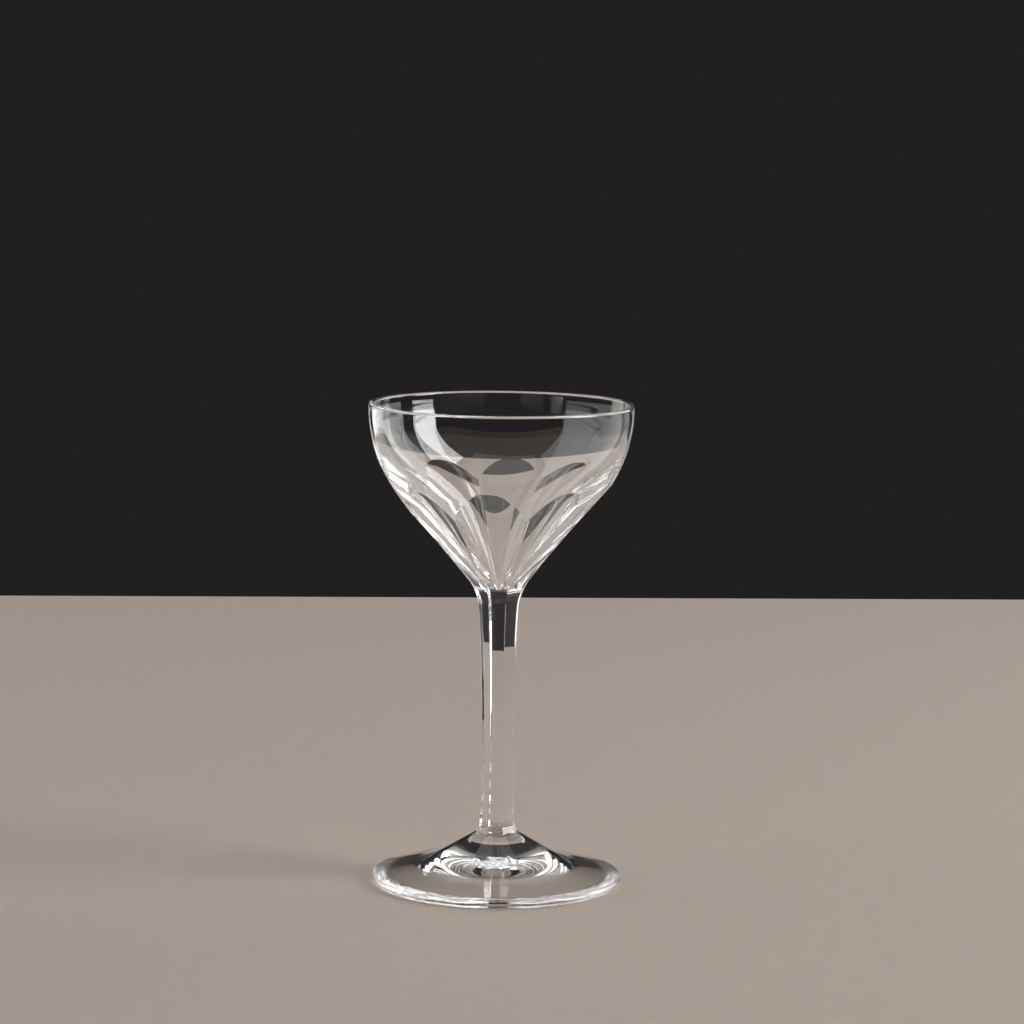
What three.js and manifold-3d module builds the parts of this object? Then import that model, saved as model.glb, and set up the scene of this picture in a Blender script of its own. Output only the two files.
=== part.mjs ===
// Cut crystal aperitif glass: a blown bowl with eight wheel-cut flutes, an eight-sided cut stem
// and a round foot, fused at two flat seams. Millimetres, +Z up, origin under the middle of the foot.
// Profiles are lists of points (radius, height), from the axis below to the axis above.
import * as THREE from 'three';
import { mergeVertices } from 'three/addons/utils/BufferGeometryUtils.js';
import Module from 'manifold-3d';

const wasm = await Module();
wasm.setup();

// Heights of the three pieces
const FOOT_HEIGHT = 10.65; // table to the seam under the stem
const STEM_LENGTH = 58.35; // seam to seam
const BOWL_HEIGHT = 49.5; // seam to the top of the lip

// Bowl as blown, before it is cut
const RIM_RADIUS = 32.5; // outside, at the lip
const LIP_WALL = 1.3; // the lip is fully rounded
const LIP_STRAIGHT = 1.0; // upright stretch from the top of the lip
const SIDE_RADIUS = 35.0; // round of the outer side
const CAVITY_STRAIGHT = 2.9; // lip down to where the inner side begins to curve in
const CAVITY_CORNER = 12.5; // lip down to where the inner side and the cone below it would meet
const CAVITY_BEND = 7.7; // how far in from the side the curve runs into the cone
const CAVITY_TIP_RADIUS = 1.2; // round at the bottom of the cone
const CAVITY_FLOOR = 4.75; // glass between the cavity and the seam
const NECK_SPARE = 1.7; // how far the blank stands outside the flutes at the seam

// Flutes: each is one stroke of a large wheel that runs out into a tighter throat
const SIDES = 8;
const FLUTE_TOP = 19.2; // lip down to the tops of the arches
const WHEEL_RADIUS = 260.0;
const THROAT_RADIUS = 12.9;
const NECK_ANGLE = 6.0; // degrees from upright, where a flute ends at the seam
const NECK_FLAT = 4.88; // axis to each flat at the seam, on the bowl and on the stem

// Stem, by the distance from the axis to each flat
const TAPER_FLAT = 4.06; // what the taper from neck to waist bends towards
const TAPER_HEIGHT = 48.0; // above the lower seam
const WAIST_FLAT = 3.65;
const WAIST_HEIGHT = 23.95; // above the lower seam
const WAIST_BEND_FLAT = 3.6; // what the stretch from waist to flare bends towards
const WAIST_BEND_HEIGHT = 21.0; // above the lower seam
const FLARE_FLAT = 4.03; // where the flare begins
const FLARE_HEIGHT = 5.5; // above the lower seam
const FLARE_BEND_FLAT = 4.17; // what the flare bends towards
const FLARE_BEND_HEIGHT = 1.2; // above the lower seam
const FLARE_MARGIN = 0.9; // pad left showing outside the flats of the flare
const FLARE_END_HEIGHT = 0.6; // above the lower seam, inside the pad

// Round pad that the stem is fused to the foot with
const SEAM_RADIUS = 7.7;
const PAD_HEIGHT = 1.65;
const PAD_TOP_RADIUS = 5.0;

// Foot
const FOOT_RADIUS = 30.9;
const FOOT_EDGE_RADIUS = 1.0; // the edge is fully rounded
const DISC_SLOPE = 14.0; // degrees, of the disc's top from its edge to the dome and of the hollow under it
const DOME_RADIUS = 16.5; // where the disc and the straight side of the dome would meet
const DOME_FILLET = 4.5; // how far from there the round between them reaches
const CONTACT_WIDTH = 1.5; // flat ring that the glass stands on
const HOLLOW_RADIUS = 27.0; // where the slope of the hollow would reach the table
const HOLLOW_BRIM = 1.5; // how far inside that the slope begins to bend towards the ring
const HOLLOW_BEND_RADIUS = 7.5; // where the slope would reach the level of the hollow's middle

// Facets
const ROUND_SEGMENTS = 48; // a multiple of twice SIDES, so that the flutes' corners fall on facet lines
const SIDE_STEPS = 12; // along a long curve
const SMALL_STEPS = 6; // round a small one, even, so that the lip has points on its very top
const CUT_SPARE = 2.0; // how far a cutting solid reaches past what it cuts

const STEM_TOP = FOOT_HEIGHT + STEM_LENGTH;
const LIP_HEIGHT = STEM_TOP + BOWL_HEIGHT;
const HALF_SIDE = Math.PI / SIDES;

function point(radius, height) {
  return new THREE.Vector2(radius, height);
}

// The point of a circle at an angle from the outward horizontal.
function onCircle(center, radius, angle) {
  return point(center.x + radius * Math.cos(angle), center.y + radius * Math.sin(angle));
}

function arc(center, radius, from, to, steps) {
  const points = [];
  for (let i = 0; i <= steps; i += 1) {
    points.push(onCircle(center, radius, from + ((to - from) * i) / steps));
  }
  return points;
}

// The angle at which a line touches the outer side of both circles, below the first one's middle.
function tangentAngle(center, radius, lowerCenter, lowerRadius) {
  const across = lowerCenter.clone().sub(center);
  const heading = Math.atan2(across.y, across.x);
  return heading + Math.acos((radius - lowerRadius) / across.length());
}

// The point at a length from one point in the direction of another.
function toward(from, to, length) {
  return from.clone().add(to.clone().sub(from).setLength(length));
}

// The flats of a form with SIDES sides, as the radius of its corners.
function corners(flats) {
  return flats.map((flat) => point(flat.x / Math.cos(HALF_SIDE), flat.y));
}

// A closed solid turned about Z. With few segments it is a faceted form, flats facing -Y, X and so on.
function turned(profile, segments) {
  const phase = segments === SIDES ? HALF_SIDE : 0;
  const lathe = new THREE.LatheGeometry(profile, segments, phase);
  lathe.rotateX(Math.PI / 2);
  lathe.deleteAttribute('normal');
  lathe.deleteAttribute('uv');
  const merged = mergeVertices(lathe);
  const triangles = [];
  for (let i = 0; i < merged.index.count; i += 3) {
    const [a, b, c] = merged.index.array.slice(i, i + 3);
    if (a !== b && b !== c && c !== a) {
      triangles.push(a, b, c);
    }
  }
  const mesh = new wasm.Mesh({
    numProp: 3,
    vertProperties: merged.attributes.position.array,
    triVerts: new Uint32Array(triangles),
  });
  return new wasm.Manifold(mesh);
}

// The bowl as blown: cavity, rounded lip and an outer side that runs straight down to the seam.
function bowlBlank() {
  const sideHeight = LIP_HEIGHT - LIP_STRAIGHT;
  const sideCenter = point(RIM_RADIUS - SIDE_RADIUS, sideHeight);
  const neckRadius = NECK_FLAT / Math.cos(HALF_SIDE) + NECK_SPARE;
  const neck = point(neckRadius, STEM_TOP);
  const sideEnd = tangentAngle(sideCenter, SIDE_RADIUS, neck, 0);

  const lipRadius = LIP_WALL / 2;
  const lipCenter = point(RIM_RADIUS - lipRadius, LIP_HEIGHT - lipRadius);

  const cavityRadius = RIM_RADIUS - LIP_WALL;
  const cavityTop = point(cavityRadius, LIP_HEIGHT - CAVITY_STRAIGHT);
  const corner = point(cavityRadius, LIP_HEIGHT - CAVITY_CORNER);
  const tipCenter = point(0, STEM_TOP + CAVITY_FLOOR + CAVITY_TIP_RADIUS);
  const coneAngle = tangentAngle(corner, 0, tipCenter, CAVITY_TIP_RADIUS);
  const coneEnd = onCircle(tipCenter, CAVITY_TIP_RADIUS, coneAngle);
  const coneTop = corner.clone().lerp(coneEnd, CAVITY_BEND / (cavityRadius - coneEnd.x));
  const cavitySide = new THREE.QuadraticBezierCurve(cavityTop, corner, coneTop);

  const profile = [
    point(0, STEM_TOP - CUT_SPARE),
    point(neckRadius, STEM_TOP - CUT_SPARE),
    neck,
    ...arc(sideCenter, SIDE_RADIUS, sideEnd, 0, SIDE_STEPS),
    ...arc(lipCenter, lipRadius, 0, Math.PI, SMALL_STEPS),
    ...cavitySide.getPoints(SIDE_STEPS),
    ...arc(tipCenter, CAVITY_TIP_RADIUS, coneAngle, -Math.PI / 2, SMALL_STEPS),
  ];
  return turned(profile, ROUND_SEGMENTS);
}

// What the eight flutes leave: below the arches it is smaller than the blank, above them larger.
function flutedForm() {
  const neckAngle = THREE.MathUtils.degToRad(NECK_ANGLE);
  const neck = point(NECK_FLAT, STEM_TOP);
  const throatCenter = onCircle(neck, THROAT_RADIUS, -neckAngle);

  const sideCenter = point(RIM_RADIUS - SIDE_RADIUS, LIP_HEIGHT - LIP_STRAIGHT);
  const archDrop = FLUTE_TOP - LIP_STRAIGHT;
  const archTop = onCircle(sideCenter, SIDE_RADIUS, -Math.asin(archDrop / SIDE_RADIUS));

  // The wheel passes through the top of the arch and runs into the throat with no step.
  const reach = archTop.clone().sub(throatCenter);
  const between = WHEEL_RADIUS - THROAT_RADIUS;
  const along = (reach.lengthSq() + between ** 2 - WHEEL_RADIUS ** 2) / (2 * between);
  const runIn = Math.atan2(reach.y, reach.x) - Math.acos(along / reach.length());
  const wheelCenter = onCircle(throatCenter, between, runIn);
  const clearRadius = RIM_RADIUS + CUT_SPARE;
  const runOut = -Math.acos((wheelCenter.x - clearRadius) / WHEEL_RADIUS);

  const flats = [
    point(0, STEM_TOP),
    ...arc(throatCenter, THROAT_RADIUS, Math.PI - neckAngle, Math.PI + runIn, SMALL_STEPS),
    ...arc(wheelCenter, WHEEL_RADIUS, Math.PI + runIn, Math.PI + runOut, SIDE_STEPS).slice(1),
    point(clearRadius, LIP_HEIGHT + CUT_SPARE),
    point(0, LIP_HEIGHT + CUT_SPARE),
  ];
  return turned(corners(flats), SIDES);
}

// Eight flat sides from the neck through the waist to a flare that sinks into the round pad.
function stemSolid() {
  const endFlat = SEAM_RADIUS * Math.cos(HALF_SIDE) - FLARE_MARGIN;
  const end = point(endFlat, FOOT_HEIGHT + FLARE_END_HEIGHT);
  const flareBend = point(FLARE_BEND_FLAT, FOOT_HEIGHT + FLARE_BEND_HEIGHT);
  const flareTop = point(FLARE_FLAT, FOOT_HEIGHT + FLARE_HEIGHT);
  const waistBend = point(WAIST_BEND_FLAT, FOOT_HEIGHT + WAIST_BEND_HEIGHT);
  const waist = point(WAIST_FLAT, FOOT_HEIGHT + WAIST_HEIGHT);
  const taperBend = point(TAPER_FLAT, FOOT_HEIGHT + TAPER_HEIGHT);
  const neck = point(NECK_FLAT, STEM_TOP);

  const flare = new THREE.QuadraticBezierCurve(end, flareBend, flareTop);
  const shank = new THREE.QuadraticBezierCurve(flareTop, waistBend, waist);
  const taper = new THREE.QuadraticBezierCurve(waist, taperBend, neck);
  const flats = [
    point(0, FOOT_HEIGHT + FLARE_END_HEIGHT),
    ...flare.getPoints(SIDE_STEPS),
    ...shank.getPoints(SMALL_STEPS),
    ...taper.getPoints(SIDE_STEPS),
    point(0, STEM_TOP),
  ];
  const pad = [
    point(0, FOOT_HEIGHT),
    point(SEAM_RADIUS, FOOT_HEIGHT),
    point(PAD_TOP_RADIUS, FOOT_HEIGHT + PAD_HEIGHT),
    point(0, FOOT_HEIGHT + PAD_HEIGHT),
  ];
  return turned(corners(flats), SIDES).add(turned(pad, ROUND_SEGMENTS));
}

// Hollow, flat contact ring, rounded edge, sloping disc and a steeper dome up to the seam.
function footSolid() {
  const discSlope = THREE.MathUtils.degToRad(DISC_SLOPE);
  const edgeCenter = point(FOOT_RADIUS - FOOT_EDGE_RADIUS, FOOT_EDGE_RADIUS);
  const edgeEnd = Math.PI / 2 - discSlope;
  const edgeTop = onCircle(edgeCenter, FOOT_EDGE_RADIUS, edgeEnd);
  const seam = point(SEAM_RADIUS, FOOT_HEIGHT);

  const corner = point(DOME_RADIUS, edgeTop.y + (edgeTop.x - DOME_RADIUS) * Math.tan(discSlope));
  const fillet = new THREE.QuadraticBezierCurve(
    toward(corner, edgeTop, DOME_FILLET),
    corner,
    toward(corner, seam, DOME_FILLET),
  );

  const hollowHeight = (HOLLOW_RADIUS - HOLLOW_BEND_RADIUS) * Math.tan(discSlope);
  const hollowBend = point(HOLLOW_BEND_RADIUS, hollowHeight);
  const hollowCorner = point(HOLLOW_RADIUS, 0);
  const brimTop = point(HOLLOW_RADIUS - HOLLOW_BRIM, HOLLOW_BRIM * Math.tan(discSlope));
  const contact = point(edgeCenter.x - CONTACT_WIDTH, 0);
  const hollow = new THREE.QuadraticBezierCurve(point(0, hollowHeight), hollowBend, brimTop);
  const brim = new THREE.QuadraticBezierCurve(brimTop, hollowCorner, contact);

  const profile = [
    ...hollow.getPoints(SIDE_STEPS),
    ...brim.getPoints(SMALL_STEPS),
    ...arc(edgeCenter, FOOT_EDGE_RADIUS, -Math.PI / 2, 0, SMALL_STEPS / 2),
    ...arc(edgeCenter, FOOT_EDGE_RADIUS, 0, edgeEnd, SMALL_STEPS / 2).slice(1),
    ...fillet.getPoints(SMALL_STEPS),
    seam,
    point(0, FOOT_HEIGHT),
  ];
  return turned(profile, ROUND_SEGMENTS);
}

function crystal() {
  return new THREE.MeshStandardMaterial({
    color: 0xf2f7f7,
    roughness: 0.03,
    metalness: 0,
    transparent: true,
    opacity: 0.35,
    flatShading: true,
  });
}

function named(name, solid) {
  const { vertProperties, triVerts } = solid.getMesh();
  const geometry = new THREE.BufferGeometry();
  geometry.setAttribute('position', new THREE.BufferAttribute(vertProperties, 3));
  geometry.setIndex(new THREE.BufferAttribute(triVerts, 1));
  const mesh = new THREE.Mesh(geometry, crystal());
  mesh.name = name;
  return mesh;
}

const glass = new THREE.Group();
glass.add(named('foot', footSolid()));
glass.add(named('stem', stemSolid()));
glass.add(named('bowl', bowlBlank().intersect(flutedForm())));

export default glass;
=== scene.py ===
"""Looks of a cut crystal aperitif glass: fine meshes of the bowl, stem and foot in clear crystal,
on a plain table top before a dark surround, lit by soft boxes. Metres, +Z up."""

import math

import bpy
from mathutils import Matrix, Vector


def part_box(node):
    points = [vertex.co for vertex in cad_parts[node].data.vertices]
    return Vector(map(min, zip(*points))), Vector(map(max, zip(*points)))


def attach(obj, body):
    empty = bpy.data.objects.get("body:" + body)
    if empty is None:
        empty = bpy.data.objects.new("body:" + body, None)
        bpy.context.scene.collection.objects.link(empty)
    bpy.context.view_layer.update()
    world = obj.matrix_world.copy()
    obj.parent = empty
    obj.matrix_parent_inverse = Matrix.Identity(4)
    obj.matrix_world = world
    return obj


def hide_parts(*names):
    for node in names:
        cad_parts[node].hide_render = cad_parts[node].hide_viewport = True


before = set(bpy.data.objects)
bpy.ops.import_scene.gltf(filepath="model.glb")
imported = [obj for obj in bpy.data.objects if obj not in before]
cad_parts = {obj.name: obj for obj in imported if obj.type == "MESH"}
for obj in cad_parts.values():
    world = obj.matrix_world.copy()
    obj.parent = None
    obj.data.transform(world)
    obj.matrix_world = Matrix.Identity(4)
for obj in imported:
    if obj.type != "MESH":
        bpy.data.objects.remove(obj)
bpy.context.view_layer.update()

MM = 0.001
WHITE = (1.0, 1.0, 1.0, 1.0)

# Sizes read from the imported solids
FOOT_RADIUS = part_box("foot")[1].x
LOWER_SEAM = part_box("foot")[1].z
SEAM_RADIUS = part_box("stem")[1].x
UPPER_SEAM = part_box("stem")[1].z
RIM_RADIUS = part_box("bowl")[1].x
LIP_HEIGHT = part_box("bowl")[1].z

# Bowl as blown. The straights and the corner are down from the lip, the floor is up from the upper seam
LIP_WALL = 1.3 * MM
LIP_STRAIGHT = 1.0 * MM
SIDE_RADIUS = 35.0 * MM
CAVITY_STRAIGHT = 2.9 * MM
CAVITY_CORNER = 12.5 * MM
CAVITY_BEND = 7.7 * MM
CAVITY_TIP_RADIUS = 1.2 * MM
CAVITY_FLOOR = 4.75 * MM
NECK_SPARE = 1.7 * MM

# Flutes cut into it. Their top is down from the lip
SIDES = 8
HALF_SIDE = math.pi / SIDES
FLUTE_TOP = 19.2 * MM
WHEEL_RADIUS = 260.0 * MM
THROAT_RADIUS = 12.9 * MM
NECK_ANGLE = math.radians(6.0)
NECK_FLAT = 4.88 * MM
ARCH_BLEND = 0.10 * MM
EDGE_RADIUS = 0.40 * MM

# Stem, by the distance from the axis to each flat and the height above the lower seam
TAPER_FLAT = 4.06 * MM
TAPER_HEIGHT = 48.0 * MM
WAIST_FLAT = 3.65 * MM
WAIST_HEIGHT = 23.95 * MM
WAIST_BEND_FLAT = 3.60 * MM
WAIST_BEND_HEIGHT = 21.0 * MM
FLARE_FLAT = 4.03 * MM
FLARE_HEIGHT = 5.5 * MM
FLARE_BEND_FLAT = 4.17 * MM
FLARE_BEND_HEIGHT = 1.2 * MM
FLARE_MARGIN = 0.9 * MM
FLARE_END_HEIGHT = 0.6 * MM
PAD_HEIGHT = 1.65 * MM
PAD_TOP_RADIUS = 5.0 * MM
PAD_BLEND = 0.35 * MM

# Foot
FOOT_EDGE_RADIUS = 1.0 * MM
DISC_SLOPE = math.radians(14.0)
DOME_RADIUS = 16.5 * MM
DOME_FILLET = 4.5 * MM
CONTACT_WIDTH = 1.5 * MM
HOLLOW_RADIUS = 27.0 * MM
HOLLOW_BRIM = 1.5 * MM
HOLLOW_BEND_RADIUS = 7.5 * MM

# Rows and columns of the meshes
HALF_SIDE_COLUMNS = 16
FLUTE_ROWS = 72
UPPER_SIDE_ROWS = 40
LIP_ROWS = 14
UPRIGHT_ROWS = 4
CAVITY_ROWS = 48
CONE_ROWS = 24
TIP_ROWS = 8
STEM_ROWS = 130
STEM_ROW_POWER = 1.8
HOLLOW_ROWS = 96
BRIM_ROWS = 24
CONTACT_ROWS = 8
FOOT_EDGE_ROWS = 18
DISC_ROWS = 12
FILLET_ROWS = 64
DOME_ROWS = 40
BISECTIONS = 40

# Camera, fitted to the photograph. Its azimuth is 0 where one flute faces it squarely
IMAGE_SIZE = 1024
FOCAL_PIXELS = 3424.0
SENSOR = 36.0
CAMERA_AZIMUTH = math.radians(6.4)
CAMERA_DISTANCE = 829.3 * MM
CAMERA_HEIGHT = 199.6 * MM
CAMERA_PITCH = math.radians(7.405)
CAMERA_YAW = math.radians(0.196)
CAMERA_ROLL = math.radians(0.688)

# Stage: the table reaches equally far from the glass on each side, and lies a hair under it
TABLE_REACH = 454.0 * MM
TABLE_TURN = math.radians(-2.8)
TABLE_GAP = 0.05 * MM
TABLE_COLOUR = (0.36, 0.305, 0.265, 1.0)
SURROUND_COLOUR = (0.0150, 0.0137, 0.0142, 1.0)
SOFT_LIGHT = 0.12

# Light paths: a ray with a diffuse depth under this one has not met a matt surface yet
NO_DIFFUSE_DEPTH = 0.5
LIGHT_BOUNCES = 32

# Soft boxes by their angles from the glass, in degrees: bearing to the right of the view's direction,
# spread, and lowest and highest elevation
LIGHT_DISTANCE = 1.2
LIGHT_TARGET = 60.0 * MM
SOFT_BOXES = {
    "window_right": {"bearing": 103, "spread": 24, "low": 3, "high": 60, "radiance": 9.0},
    "window_right_back": {"bearing": 55, "spread": 40, "low": 3, "high": 40, "radiance": 2.5},
    "panel_left": {"bearing": -88, "spread": 62, "low": 3, "high": 60, "radiance": 1.5},
    "panel_left_back": {"bearing": -44, "spread": 26, "low": -12, "high": 30, "radiance": 1.5},
    "strip_left": {"bearing": -18.5, "spread": 7, "low": -12, "high": 2, "radiance": 0.6},
    "strip_right": {"bearing": 20, "spread": 10, "low": -12, "high": 2, "radiance": 0.4},
}
CEILING_HEIGHT = 1.2
CEILING_WIDTH = 1.0
CEILING_RADIANCE = 0.8


def on_circle(center, radius, angle):
    """The point (radius, height) of a circle at an angle from the outward horizontal."""
    return (center[0] + radius * math.cos(angle), center[1] + radius * math.sin(angle))


def arc(center, radius, start, end, steps):
    return [on_circle(center, radius, start + (end - start) * i / steps) for i in range(steps + 1)]


def eased(steps):
    """Shares from 0 to 1, close together at both ends."""
    return [(1 - math.cos(math.pi * i / steps)) / 2 for i in range(steps + 1)]


def between(start, end, share):
    return (start[0] + (end[0] - start[0]) * share, start[1] + (end[1] - start[1]) * share)


def line(start, end, steps):
    """Points from start to end, close together at both ends."""
    return [between(start, end, share) for share in eased(steps)]


def bent(start, middle, end, steps):
    """Points of the curve that leaves start towards middle and comes to end from it."""
    shares = [i / steps for i in range(steps + 1)]
    return [between(between(start, middle, t), between(middle, end, t), t) for t in shares]


def bent_share(start, middle, end, value):
    """How far along a bent curve one of its coordinates, which only rises, reaches a value."""
    bend = middle - start
    curve = end - middle - bend
    return (value - start) / (bend + math.sqrt(bend**2 + curve * (value - start)))


def bent_flat(start, middle, end, height):
    """The first coordinate of a bent curve where the second one reaches a height."""
    t = bent_share(start[1], middle[1], end[1], height)
    return between(between(start, middle, t), between(middle, end, t), t)[0]


def tangent_angle(center, radius, lower_center, lower_radius):
    """The angle at which a line touches both circles on the outside, below the first one's middle."""
    across = lower_center[0] - center[0]
    along = lower_center[1] - center[1]
    return math.atan2(along, across) + math.acos((radius - lower_radius) / math.hypot(across, along))


def soft_min(a, b, blend):
    """The smaller of two lengths, with the corner between them rounded over a length."""
    overlap = max(blend - abs(a - b), 0.0) / blend
    return min(a, b) - overlap * overlap * blend / 4


def soft_max(a, b, blend):
    return -soft_min(-a, -b, blend)


def round_columns():
    """(angle round Z, turn from the middle of a side), close together at the edges between sides."""
    shares = [1 - (1 - i / HALF_SIDE_COLUMNS) ** 2 for i in range(HALF_SIDE_COLUMNS + 1)]
    turns = [-HALF_SIDE * share for share in reversed(shares[1:])]
    turns += [HALF_SIDE * share for share in shares[:-1]]
    middles = [-math.pi / 2 + 2 * HALF_SIDE * side for side in range(SIDES)]
    return [(middle + turn, abs(turn)) for middle in middles for turn in turns]


COLUMNS = round_columns()


def polygon_radius(flat, turn):
    """Distance from the axis to a polygon with rounded corners, at a turn from a flat's middle."""
    corner = (flat - EDGE_RADIUS) / math.cos(HALF_SIDE)
    off_corner = HALF_SIDE - turn
    if math.tan(turn) * flat <= (flat - EDGE_RADIUS) * math.tan(HALF_SIDE):
        return flat / math.cos(turn)
    aside = corner * math.sin(off_corner)
    return corner * math.cos(off_corner) + math.sqrt(EDGE_RADIUS**2 - aside**2)


def ring(radius, height):
    return [(radius * math.cos(angle), radius * math.sin(angle), height) for angle, _ in COLUMNS]


class BowlProfile:
    """Curves of the bowl as (radius, height)."""

    def __init__(self):
        side_height = LIP_HEIGHT - LIP_STRAIGHT
        self.side_center = (RIM_RADIUS - SIDE_RADIUS, side_height)
        self.neck_radius = NECK_FLAT / math.cos(HALF_SIDE) + NECK_SPARE
        side_end = tangent_angle(self.side_center, SIDE_RADIUS, (self.neck_radius, UPPER_SEAM), 0.0)
        self.side_end = on_circle(self.side_center, SIDE_RADIUS, side_end)

        lip_radius = LIP_WALL / 2
        self.lip_center = (RIM_RADIUS - lip_radius, LIP_HEIGHT - lip_radius)
        self.lip = arc(self.lip_center, lip_radius, 0.0, math.pi, LIP_ROWS)

        self.cavity = self.cavity_points()
        self.set_flutes()

    def cavity_points(self):
        """An upright side that curves into a cone with a rounded tip."""
        radius = RIM_RADIUS - LIP_WALL
        top = (radius, LIP_HEIGHT - CAVITY_STRAIGHT)
        corner = (radius, LIP_HEIGHT - CAVITY_CORNER)
        tip_center = (0.0, UPPER_SEAM + CAVITY_FLOOR + CAVITY_TIP_RADIUS)
        cone_angle = tangent_angle(corner, 0.0, tip_center, CAVITY_TIP_RADIUS)
        tip = arc(tip_center, CAVITY_TIP_RADIUS, cone_angle, -math.pi / 2, TIP_ROWS)
        cone_top = between(corner, tip[0], CAVITY_BEND / (radius - tip[0][0]))
        upright = line(self.lip[-1], top, UPRIGHT_ROWS)[1:-1]
        side = bent(top, corner, cone_top, CAVITY_ROWS)
        cone = line(cone_top, tip[0], CONE_ROWS)[1:-1]
        return upright + side + cone + tip

    def set_flutes(self):
        """The wheel passes through the top of the arch and runs into the throat with no step."""
        self.throat_center = on_circle((NECK_FLAT, UPPER_SEAM), THROAT_RADIUS, -NECK_ANGLE)
        drop = FLUTE_TOP - LIP_STRAIGHT
        arch_top = on_circle(self.side_center, SIDE_RADIUS, -math.asin(drop / SIDE_RADIUS))
        reach = (arch_top[0] - self.throat_center[0], arch_top[1] - self.throat_center[1])
        length = math.hypot(*reach)
        apart = WHEEL_RADIUS - THROAT_RADIUS
        along = (length**2 + apart**2 - WHEEL_RADIUS**2) / (2 * apart)
        run_in = math.atan2(reach[1], reach[0]) - math.acos(along / length)
        self.wheel_center = on_circle(self.throat_center, apart, run_in)
        self.run_in_height = on_circle(self.throat_center, THROAT_RADIUS, math.pi + run_in)[1]

    def blank_radius(self, height):
        """Outside of the bowl before it is cut."""
        if height >= self.side_center[1]:
            return RIM_RADIUS
        if height >= self.side_end[1]:
            return self.side_center[0] + math.sqrt(SIDE_RADIUS**2 - (height - self.side_center[1]) ** 2)
        share = (height - UPPER_SEAM) / (self.side_end[1] - UPPER_SEAM)
        return self.neck_radius + (self.side_end[0] - self.neck_radius) * share

    def flute_flat(self, height):
        """Distance from the axis to the middle of a flute."""
        center = self.wheel_center
        radius = WHEEL_RADIUS
        if height < self.run_in_height:
            center = self.throat_center
            radius = THROAT_RADIUS
        return center[0] - math.sqrt(radius**2 - (height - center[1]) ** 2)

    def side_radius(self, height, turn):
        cut = polygon_radius(self.flute_flat(height), turn)
        return soft_min(self.blank_radius(height), cut, ARCH_BLEND)

    def arch_height(self, turn):
        """Height at which a flute meets the uncut side, at a turn from the flute's middle."""
        low = UPPER_SEAM
        high = self.lip_center[1]
        for _ in range(BISECTIONS):
            middle = (low + high) / 2
            if self.blank_radius(middle) > polygon_radius(self.flute_flat(middle), turn):
                low = middle
            else:
                high = middle
        return (low + high) / 2

    def heights(self, turn):
        """Row heights of the outside at one column, with a row along the arch."""
        arch = self.arch_height(turn)
        lower = [UPPER_SEAM + (arch - UPPER_SEAM) * share for share in eased(FLUTE_ROWS)]
        upper = [arch + (self.lip_center[1] - arch) * share for share in eased(UPPER_SIDE_ROWS)]
        return lower + upper[1:]


def bowl_rings():
    profile = BowlProfile()
    outside = []
    for angle, turn in COLUMNS:
        column = []
        for height in profile.heights(turn):
            radius = profile.side_radius(height, turn)
            column.append((radius * math.cos(angle), radius * math.sin(angle), height))
        outside.append(column)
    rings = [list(row) for row in zip(*outside)]
    rings += [ring(*place) for place in profile.lip[1:] + profile.cavity[:-1]]
    return rings, UPPER_SEAM, profile.cavity[-1][1]


def stem_flat(height):
    """Distance from the axis to each flat of the stem."""
    above = height - LOWER_SEAM
    neck = (NECK_FLAT, UPPER_SEAM - LOWER_SEAM)
    taper_bend = (TAPER_FLAT, TAPER_HEIGHT)
    waist = (WAIST_FLAT, WAIST_HEIGHT)
    waist_bend = (WAIST_BEND_FLAT, WAIST_BEND_HEIGHT)
    flare = (FLARE_FLAT, FLARE_HEIGHT)
    flare_bend = (FLARE_BEND_FLAT, FLARE_BEND_HEIGHT)
    end = (SEAM_RADIUS * math.cos(HALF_SIDE) - FLARE_MARGIN, FLARE_END_HEIGHT)
    if above >= WAIST_HEIGHT:
        return bent_flat(waist, taper_bend, neck, above)
    if above >= FLARE_HEIGHT:
        return bent_flat(flare, waist_bend, waist, above)
    return bent_flat(end, flare_bend, flare, max(above, FLARE_END_HEIGHT))


def stem_rings():
    rings = []
    for row in range(STEM_ROWS + 1):
        height = LOWER_SEAM + (UPPER_SEAM - LOWER_SEAM) * (row / STEM_ROWS) ** STEM_ROW_POWER
        pad = SEAM_RADIUS + (PAD_TOP_RADIUS - SEAM_RADIUS) * (height - LOWER_SEAM) / PAD_HEIGHT
        places = []
        for angle, turn in COLUMNS:
            radius = soft_max(polygon_radius(stem_flat(height), turn), pad, PAD_BLEND)
            places.append((radius * math.cos(angle), radius * math.sin(angle), height))
        rings.append(places)
    return rings, LOWER_SEAM, UPPER_SEAM


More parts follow.
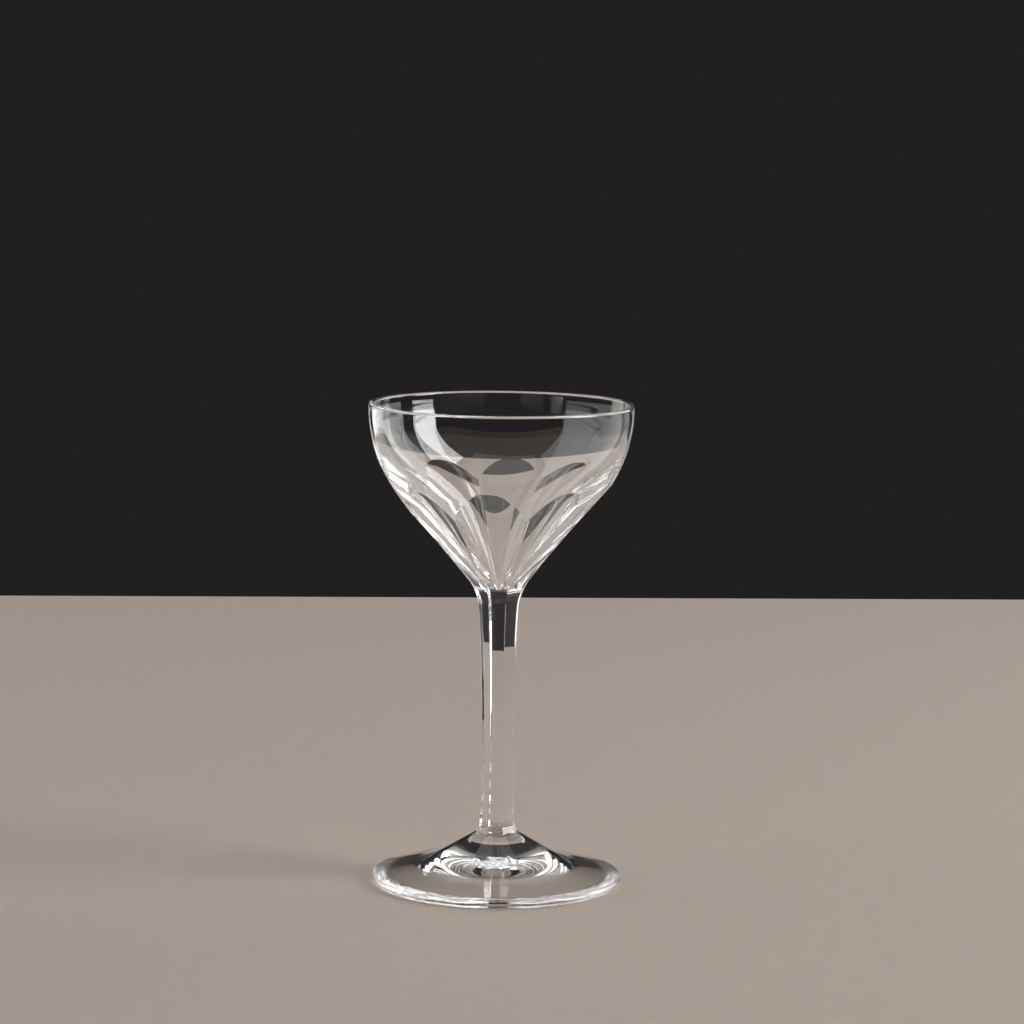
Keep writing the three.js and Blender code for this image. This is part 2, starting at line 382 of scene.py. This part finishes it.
def foot_rings():
    """A sloping disc with a steeper dome in its middle, and a hollow that runs out before the edge."""
    edge_center = (FOOT_RADIUS - FOOT_EDGE_RADIUS, FOOT_EDGE_RADIUS)
    contact_start = (edge_center[0] - CONTACT_WIDTH, 0.0)
    contact_end = (edge_center[0], 0.0)
    hollow_height = (HOLLOW_RADIUS - HOLLOW_BEND_RADIUS) * math.tan(DISC_SLOPE)
    hollow_bend = (HOLLOW_BEND_RADIUS, hollow_height)
    hollow_corner = (HOLLOW_RADIUS, 0.0)
    brim_top = (HOLLOW_RADIUS - HOLLOW_BRIM, HOLLOW_BRIM * math.tan(DISC_SLOPE))
    edge = arc(edge_center, FOOT_EDGE_RADIUS, -math.pi / 2, math.pi / 2 - DISC_SLOPE, FOOT_EDGE_ROWS)

    seam = (SEAM_RADIUS, LOWER_SEAM)
    corner = (DOME_RADIUS, edge[-1][1] + (edge[-1][0] - DOME_RADIUS) * math.tan(DISC_SLOPE))
    disc_end = between(corner, edge[-1], DOME_FILLET / math.dist(corner, edge[-1]))
    dome_foot = between(corner, seam, DOME_FILLET / math.dist(corner, seam))

    profile = bent((0.0, hollow_height), hollow_bend, brim_top, HOLLOW_ROWS)
    profile += bent(brim_top, hollow_corner, contact_start, BRIM_ROWS)[1:]
    profile += line(contact_start, contact_end, CONTACT_ROWS)[1:]
    profile += edge[1:]
    profile += line(edge[-1], disc_end, DISC_ROWS)[1:]
    profile += bent(disc_end, corner, dome_foot, FILLET_ROWS)[1:]
    profile += line(dome_foot, seam, DOME_ROWS)[1:]
    return [ring(*place) for place in profile[1:]], profile[0][1], LOWER_SEAM


def add_object(name, data):
    added = bpy.data.objects.new(name, data)
    bpy.context.scene.collection.objects.link(added)
    return added


def closed_piece(name, rings, first_height, last_height, seams, materials):
    """A closed mesh through rings of points, ended by a point on the axis at each end.
    Faces of the ends named in seams are flat and take the second material."""
    count = len(COLUMNS)
    vertices = [(0.0, 0.0, first_height)]
    vertices += [place for places in rings for place in places]
    vertices.append((0.0, 0.0, last_height))
    last_ring = 1 + (len(rings) - 1) * count

    first_fan = [(0, 1 + (j + 1) % count, 1 + j) for j in range(count)]
    quads = []
    for i in range(len(rings) - 1):
        low = 1 + i * count
        for j in range(count):
            k = (j + 1) % count
            quads.append((low + j, low + k, low + count + k, low + count + j))
    top = len(vertices) - 1
    last_fan = [(last_ring + j, last_ring + (j + 1) % count, top) for j in range(count)]

    mesh = bpy.data.meshes.new(name)
    mesh.from_pydata(vertices, [], first_fan + quads + last_fan)
    mesh.polygons.foreach_set("use_smooth", [True] * len(mesh.polygons))
    fans = {"first": range(count), "last": range(len(mesh.polygons) - count, len(mesh.polygons))}
    rims = {"first": range(1, 1 + count), "last": range(last_ring, last_ring + count)}
    for seam in seams:
        for index in fans[seam]:
            mesh.polygons[index].use_smooth = False
            mesh.polygons[index].material_index = 1
        for edge in mesh.edges:
            if all(vertex in rims[seam] for vertex in edge.vertices):
                edge.use_edge_sharp = True
    for material in materials:
        mesh.materials.append(material)
    mesh.update()
    return add_object(name, mesh)


NOISE_DETAIL = 2.0


class Graph:
    """Adds nodes to a node tree and joins them."""

    def __init__(self, owner):
        owner.use_nodes = True
        self.tree = owner.node_tree
        self.tree.nodes.clear()

    def feed(self, socket, value):
        """Joins a socket to another node's output, or sets its own value."""
        if isinstance(value, bpy.types.NodeSocket):
            self.tree.links.new(value, socket)
        else:
            socket.default_value = value

    def add(self, kind, inputs=None, **settings):
        node = self.tree.nodes.new(kind)
        for name, value in settings.items():
            setattr(node, name, value)
        for name, value in (inputs or {}).items():
            self.feed(node.inputs[name], value)
        return node

    def noise(self, coordinates, stretch, detail=NOISE_DETAIL):
        """Noise with its scale, per metre, given along each axis."""
        mapping = self.add("ShaderNodeMapping", {"Vector": coordinates, "Scale": stretch})
        inputs = {"Vector": mapping.outputs["Vector"], "Scale": 1.0, "Detail": detail}
        return self.add("ShaderNodeTexNoise", inputs).outputs["Fac"]

    def span(self, value, low, high, to_low, to_high):
        inputs = {
            "Value": value,
            "From Min": low,
            "From Max": high,
            "To Min": to_low,
            "To Max": to_high,
        }
        return self.add("ShaderNodeMapRange", inputs).outputs["Result"]

    def bump(self, height, distance, strength=1.0, normal=None):
        """Normals tilted by a height that runs over a distance, on top of other normals if given."""
        inputs = {"Strength": strength, "Distance": distance, "Height": height}
        if normal is not None:
            inputs["Normal"] = normal
        return self.add("ShaderNodeBump", inputs).outputs["Normal"]

    def math(self, operation, first, second):
        node = self.add("ShaderNodeMath", operation=operation)
        for socket, value in zip(node.inputs, (first, second)):
            self.feed(socket, value)
        return node.outputs["Value"]

    def ramp(self, value, low_colour, high_colour):
        node = self.add("ShaderNodeValToRGB", {"Fac": value})
        node.color_ramp.elements[0].color = low_colour
        node.color_ramp.elements[1].color = high_colour
        return node.outputs["Color"]


# Crystal: scales of its noise are per metre, and each span is the part of the noise that is used
CRYSTAL_IOR = 1.525
CRYSTAL_LOW = (0.985, 0.993, 0.990, 1.0)
CRYSTAL_HIGH = WHITE
STRIA_SCALE = (90.0, 90.0, 30.0)
SMUDGE_SCALE = (160.0, 160.0, 160.0)
SMUDGE_DETAIL = 4.0
SMUDGE_SPAN = (0.35, 0.75)
POLISH_ROUGHNESS = (0.0, 0.012)
MARK_DETAIL = 3.0
MARK_HEIGHT = 0.0002 * MM
WEAR_HEIGHT = 0.12 * MM
WEAR_SCALE = (900.0, 140.0, 900.0)
WEAR_DETAIL = 3.0
WEAR_SPAN = (0.4, 0.7)
WEAR_ROUGHNESS = (0.0, 0.30)
CRYSTALS = {
    "bowl": {
        "wave_scale": (70.0, 70.0, 45.0),
        "wave_height": 0.006 * MM,
        "mark_scale": (500.0, 500.0, 60.0),
    },
    "stem": {
        "wave_scale": (110.0, 110.0, 40.0),
        "wave_height": 0.004 * MM,
        "mark_scale": (900.0, 900.0, 50.0),
    },
    "foot": {
        "wave_scale": (60.0, 60.0, 60.0),
        "wave_height": 0.006 * MM,
        "mark_scale": (260.0, 260.0, 260.0),
        "worn": True,
    },
}


def crystal(name, wave_scale, wave_height, mark_scale, worn=False):
    """Clear polished crystal with faint waves left by the making, marks of polishing and smudges."""
    material = bpy.data.materials.new(name)
    graph = Graph(material)
    place = graph.add("ShaderNodeTexCoord").outputs["Object"]

    colour = graph.ramp(graph.noise(place, STRIA_SCALE), CRYSTAL_LOW, CRYSTAL_HIGH)
    smudges = graph.noise(place, SMUDGE_SCALE, SMUDGE_DETAIL)
    roughness = graph.span(smudges, *SMUDGE_SPAN, *POLISH_ROUGHNESS)
    if worn:
        height = graph.add("ShaderNodeSeparateXYZ", {"Vector": place}).outputs["Z"]
        mask = graph.span(height, WEAR_HEIGHT / 2, WEAR_HEIGHT, 1.0, 0.0)
        wear = graph.noise(place, WEAR_SCALE, WEAR_DETAIL)
        scratches = graph.span(wear, *WEAR_SPAN, *WEAR_ROUGHNESS)
        roughness = graph.math("ADD", roughness, graph.math("MULTIPLY", mask, scratches))

    waves = graph.noise(place, wave_scale)
    marks = graph.noise(place, mark_scale, MARK_DETAIL)
    wavy = graph.bump(waves, wave_height)
    normal = graph.bump(marks, MARK_HEIGHT, normal=wavy)

    surface = graph.add("ShaderNodeBsdfPrincipled", {
        "Base Color": colour,
        "Roughness": roughness,
        "IOR": CRYSTAL_IOR,
        "Transmission Weight": 1.0,
        "Normal": normal,
    })
    graph.add("ShaderNodeOutputMaterial", {"Surface": surface.outputs["BSDF"]})
    return material


def fused_seam():
    """Two pieces are one glass where they are fused, so the seam itself shows nothing."""
    material = bpy.data.materials.new("fused_seam")
    graph = Graph(material)
    surface = graph.add("ShaderNodeBsdfTransparent", {"Color": WHITE})
    graph.add("ShaderNodeOutputMaterial", {"Surface": surface.outputs["BSDF"]})
    return material


def add_glass():
    seam = fused_seam()
    plan = [
        ("fluted_bowl", "bowl", bowl_rings(), ["first"]),
        ("cut_stem", "stem", stem_rings(), ["first", "last"]),
        ("round_foot", "foot", foot_rings(), ["last"]),
    ]
    for name, node, (rings, first, last), seams in plan:
        material = crystal(node + "_crystal", **CRYSTALS[node])
        piece = closed_piece(name, rings, first, last, seams, [material, seam])
        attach(piece, "root")
        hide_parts(node)


# Table top, with the same kinds of values as the crystal
GRAIN_SCALE = (220.0, 220.0, 220.0)
GRAIN_DETAIL = 5.0
GRAIN_SPAN = (0.3, 0.7)
GRAIN_SHADES = (0.93, 1.07)
GRAIN_STRENGTH = 0.3
GRAIN_HEIGHT = 0.05 * MM
TABLE_ROUGHNESS = (0.75, 0.9)
TABLE_SPECULAR = 0.2


def shaded(colour, share):
    return tuple(share * value for value in colour[:3]) + colour[3:]


def table_material():
    """Plain matt table top with a faint grain."""
    material = bpy.data.materials.new("table_top")
    graph = Graph(material)
    place = graph.add("ShaderNodeTexCoord").outputs["Object"]
    grain = graph.noise(place, GRAIN_SCALE, GRAIN_DETAIL)
    low, high = [shaded(TABLE_COLOUR, share) for share in GRAIN_SHADES]
    roughness = graph.span(grain, *GRAIN_SPAN, *TABLE_ROUGHNESS)
    normal = graph.bump(grain, GRAIN_HEIGHT, GRAIN_STRENGTH)
    surface = graph.add("ShaderNodeBsdfPrincipled", {
        "Base Color": graph.ramp(grain, low, high),
        "Roughness": roughness,
        "Specular IOR Level": TABLE_SPECULAR,
        "Normal": normal,
    })
    graph.add("ShaderNodeOutputMaterial", {"Surface": surface.outputs["BSDF"]})
    return material


def add_table():
    """A square with the glass in its middle, nearly square to the view."""
    away = view_heading(TABLE_TURN) * TABLE_REACH
    right = Vector((away.y, -away.x, 0.0))
    level = Vector((0.0, 0.0, -TABLE_GAP))
    vertices = [level - right - away, level + right - away, level + right + away, level - right + away]
    mesh = bpy.data.meshes.new("table_top")
    mesh.from_pydata(vertices, [], [(0, 1, 2, 3)])
    mesh.materials.append(table_material())
    table = add_object("table_top", mesh)


def add_surround():
    """A dark surround where it is seen, mirrored or looked at through glass, and soft light that
    falls on the table, through the glass too."""
    world = bpy.data.worlds.new("surround")
    bpy.context.scene.world = world
    graph = Graph(world)
    path = graph.add("ShaderNodeLightPath").outputs
    seen = graph.math("MAXIMUM", path["Is Camera Ray"], path["Is Glossy Ray"])
    seen = graph.math("MAXIMUM", seen, path["Is Transmission Ray"])
    direct = graph.math("LESS_THAN", path["Diffuse Depth"], NO_DIFFUSE_DEPTH)
    seen = graph.math("MULTIPLY", seen, direct)
    soft = graph.add("ShaderNodeBackground", {"Color": WHITE, "Strength": SOFT_LIGHT})
    dark = graph.add("ShaderNodeBackground", {"Color": SURROUND_COLOUR, "Strength": 1.0})
    mix = graph.add("ShaderNodeMixShader", {"Fac": seen})
    graph.feed(mix.inputs[1], soft.outputs["Background"])
    graph.feed(mix.inputs[2], dark.outputs["Background"])
    graph.add("ShaderNodeOutputWorld", {"Surface": mix.outputs["Shader"]})


def view_heading(bearing):
    """Level direction at a bearing to the right of the one from the camera to the glass."""
    turn = CAMERA_AZIMUTH - bearing
    return Vector((-math.sin(turn), math.cos(turn), 0.0))


def add_lamp(name, width, height, radiance, place, heading):
    """A lamp that the camera can see too, so that what shows through the glass is also behind it."""
    lamp = bpy.data.lights.new(name, "AREA")
    lamp.shape = "RECTANGLE"
    lamp.size = width
    lamp.size_y = height
    lamp.energy = radiance * math.pi * width * height
    box = add_object(name, lamp)
    box.visible_camera = True
    box.location = place
    box.rotation_mode = "QUATERNION"
    box.rotation_quaternion = heading.to_track_quat("-Z", "Y")


def add_soft_box(name, bearing, spread, low, high, radiance):
    """An upright soft box that spans a range of bearings and elevations, in degrees from the glass."""
    base = LIGHT_DISTANCE * math.tan(math.radians(low))
    top = LIGHT_DISTANCE * math.tan(math.radians(high))
    width = 2 * LIGHT_DISTANCE * math.tan(math.radians(spread / 2))
    heading = view_heading(math.radians(bearing))
    place = heading * LIGHT_DISTANCE + Vector((0.0, 0.0, LIGHT_TARGET + (base + top) / 2))
    add_lamp(name, width, top - base, radiance, place, -heading)


def add_lights():
    for name, box in SOFT_BOXES.items():
        add_soft_box(name, **box)
    above = Vector((0.0, 0.0, CEILING_HEIGHT))
    add_lamp("ceiling", CEILING_WIDTH, CEILING_WIDTH, CEILING_RADIANCE, above, -above)


def add_camera():
    data = bpy.data.cameras.new("camera")
    data.sensor_width = SENSOR
    data.lens = FOCAL_PIXELS / IMAGE_SIZE * SENSOR
    camera = add_object("camera", data)

    up_axis = Vector((0.0, 0.0, 1.0))
    level = view_heading(CAMERA_YAW)
    forward = level * math.cos(CAMERA_PITCH) - up_axis * math.sin(CAMERA_PITCH)
    level_right = level.cross(up_axis)
    level_up = level_right.cross(forward)
    right = level_right * math.cos(CAMERA_ROLL) + level_up * math.sin(CAMERA_ROLL)
    up = right.cross(forward)
    place = up_axis * CAMERA_HEIGHT - view_heading(0.0) * CAMERA_DISTANCE
    turned = Matrix((right, up, -forward)).transposed().to_4x4()
    camera.matrix_world = Matrix.Translation(place) @ turned
    bpy.context.scene.camera = camera


def set_light_paths():
    """Crystal sends light through many walls before it comes out, and blurs none of it."""
    cycles = bpy.context.scene.cycles
    cycles.blur_glossy = 0.0
    cycles.max_bounces = LIGHT_BOUNCES
    cycles.transmission_bounces = LIGHT_BOUNCES
    cycles.glossy_bounces = LIGHT_BOUNCES
    cycles.transparent_max_bounces = LIGHT_BOUNCES


add_camera()
add_glass()
add_table()
add_surround()
add_lights()
set_light_paths()
bpy.context.scene.view_settings.view_transform = "Standard"
